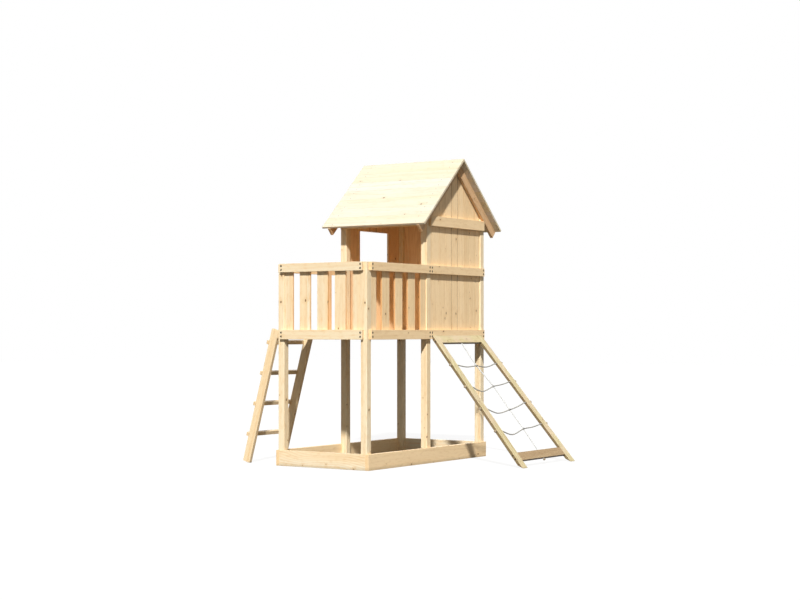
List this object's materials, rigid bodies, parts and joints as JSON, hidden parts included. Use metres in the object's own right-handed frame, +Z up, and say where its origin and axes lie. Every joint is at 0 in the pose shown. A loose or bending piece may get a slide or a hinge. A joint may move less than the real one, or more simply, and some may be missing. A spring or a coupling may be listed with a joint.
{
  "type": "stilt playhouse",
  "caption": "Wooden playhouse on posts: gabled house and railed balcony over a sandbox frame, with a leaning ladder and a rope-net climbing ramp.",
  "frame": {"origin": "on the ground under the middle of the whole playhouse's plan, ladder and ramp included", "axes": "+Z up; +Y from the open balcony to the house; +X towards the rope-net ramp; -X towards the ladder"},
  "size_m": [2.5345, 2.2456, 2.9097],
  "materials": {
    "post_wood": "planed, untreated",
    "rail_wood": "planed, untreated",
    "board_wood": "planed boards with grooved joints",
    "roof_wood": "planed boards with grooved joints",
    "treated_wood": "planed, pressure treated, greenish",
    "rope_fibre": "twisted rope with knots"
  },
  "bodies": {
    "root": {"base_board_back": "rail_wood", "base_board_left": "rail_wood", "base_board_right": "rail_wood", "deck": "board_wood", "deck_bearer_left": "board_wood", "deck_bearer_right": "board_wood", "front_eave_beam": "rail_wood", "house_rail_left": "rail_wood", "house_rail_right": "rail_wood", "ladder_cleat": "rail_wood", "ladder_rung_1": "rail_wood", "ladder_rung_2": "rail_wood", "ladder_rung_3": "rail_wood", "ladder_rung_4": "rail_wood", "ladder_stringer_back": "rail_wood", "ladder_stringer_front": "rail_wood", "platform_rail_back": "rail_wood", "platform_rail_front": "rail_wood", "platform_rail_left": "rail_wood", "platform_rail_right_balcony": "rail_wood", "platform_rail_right_house": "rail_wood", "post_back_left": "post_wood", "post_back_right": "post_wood", "post_front_left": "post_wood", "post_front_right": "post_wood", "post_middle_left": "post_wood", "post_middle_right": "post_wood", "rafter_back_left": "rail_wood", "rafter_back_right": "rail_wood", "rafter_front_left": "rail_wood", "rafter_front_right": "rail_wood", "ramp_crossbar_foot": "treated_wood", "ramp_crossbar_top": "treated_wood", "ramp_rail_back": "treated_wood", "ramp_rail_front": "treated_wood", "roof_back": "roof_wood", "roof_front": "roof_wood", "rope_net": "rope_fibre", "sandbox_board_back": "rail_wood", "sandbox_board_front": "rail_wood", "sandbox_board_left": "rail_wood", "sandbox_board_right": "rail_wood", "slat_front_1": "rail_wood", "slat_front_2": "rail_wood", "slat_front_3": "rail_wood", "slat_front_4": "rail_wood", "slat_front_5": "rail_wood", "slat_left_4": "rail_wood", "slat_left_5": "rail_wood", "slat_right_1": "rail_wood", "slat_right_2": "rail_wood", "slat_right_3": "rail_wood", "slat_right_4": "rail_wood", "slat_right_5": "rail_wood", "top_rail_front": "rail_wood", "top_rail_left": "rail_wood", "top_rail_right": "rail_wood", "wall_back": "board_wood", "wall_left": "board_wood", "wall_right": "board_wood"}
  },
  "joints": []
}
